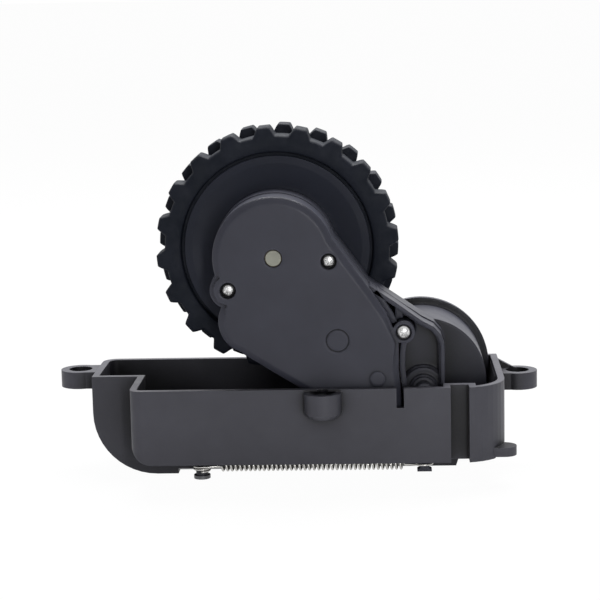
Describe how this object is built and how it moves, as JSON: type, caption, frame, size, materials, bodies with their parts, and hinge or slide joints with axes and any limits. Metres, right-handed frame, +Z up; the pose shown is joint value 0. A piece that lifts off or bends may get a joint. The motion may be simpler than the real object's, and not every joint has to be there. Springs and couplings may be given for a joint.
{
  "type": "robot vacuum drive wheel module",
  "caption": "Tray with a sprung swinging gearbox arm, a geared motor drum and a lugged drive wheel.",
  "frame": {"origin": "on the underside, below the wheel axle, in the middle plane of the wheel", "axes": "+X along the tray towards the motor drum, +Y from the front wall to the back, +Z up towards the wheel as pictured"},
  "size_m": [0.1313, 0.0497, 0.0933],
  "materials": {
    "tray_plastic": "satin moulded",
    "case_plastic": "satin moulded",
    "wheel_plastic": "satin moulded",
    "tyre_rubber": "matt rubber",
    "gear_plastic": "moulded",
    "bronze": "sintered",
    "bright_steel": "plated",
    "dark_steel": "blackened",
    "spring_steel": "bright wire",
    "axle_steel": "ground end",
    "motor_steel": "zinc plated"
  },
  "bodies": {
    "tray_body": {"tray": "tray_plastic", "post_screw": "dark_steel", "tension_spring": "spring_steel"},
    "arm": {"gearbox_base": "case_plastic", "gearbox_cover": "case_plastic", "cover_screws": "bright_steel", "motor": "motor_steel", "motor_screws": "bright_steel", "motor_cap": "wheel_plastic", "cap_screws": "bright_steel", "pin_one": "bright_steel", "pin_two": "bright_steel", "pin_three": "bright_steel", "front_bush": "bronze", "rear_bush": "bronze"},
    "rotor": {"motor_shaft": "bright_steel", "motor_pinion": "bronze"},
    "first_gear": {"gear_one": "gear_plastic"},
    "second_gear": {"gear_two": "gear_plastic"},
    "third_gear": {"gear_three": "gear_plastic"},
    "wheel": {"output_gear": "gear_plastic", "axle": "axle_steel", "wheel_hub": "wheel_plastic", "tyre": "tyre_rubber", "wheel_screw": "bright_steel"}
  },
  "joints": [
    {"name": "arm_swing", "type": "hinge", "parent": "tray_body", "child": "arm", "pos_m": [0.0383, 0, 0.0254], "axis": [0, -1, 0], "range_deg": [0, 31], "stiffness_Nm_per_rad": 0.15, "springref_deg": -34.38, "deforming": ["tension_spring"]},
    {"name": "wheel_spin", "type": "hinge", "parent": "arm", "child": "wheel", "pos_m": [0, 0, 0.0608], "axis": [0, -1, 0], "continuous": true},
    {"name": "gear_three_spin", "type": "hinge", "parent": "arm", "child": "third_gear", "pos_m": [0.0054, 0, 0.04574], "axis": [0, -1, 0], "continuous": true},
    {"name": "gear_two_spin", "type": "hinge", "parent": "arm", "child": "second_gear", "pos_m": [0.01614, 0, 0.03915], "axis": [0, -1, 0], "continuous": true},
    {"name": "gear_one_spin", "type": "hinge", "parent": "arm", "child": "first_gear", "pos_m": [0.02632, 0, 0.02897], "axis": [0, -1, 0], "continuous": true},
    {"name": "rotor_spin", "type": "hinge", "parent": "arm", "child": "rotor", "pos_m": [0.0383, 0, 0.0254], "axis": [0, -1, 0], "continuous": true}
  ],
  "couplings": [
    {"joint": "gear_three_spin", "follows": "wheel_spin", "ratio": -2.3333},
    {"joint": "gear_two_spin", "follows": "wheel_spin", "ratio": 5.8333},
    {"joint": "gear_one_spin", "follows": "wheel_spin", "ratio": -14.167},
    {"joint": "rotor_spin", "follows": "wheel_spin", "ratio": 56.667}
  ]
}
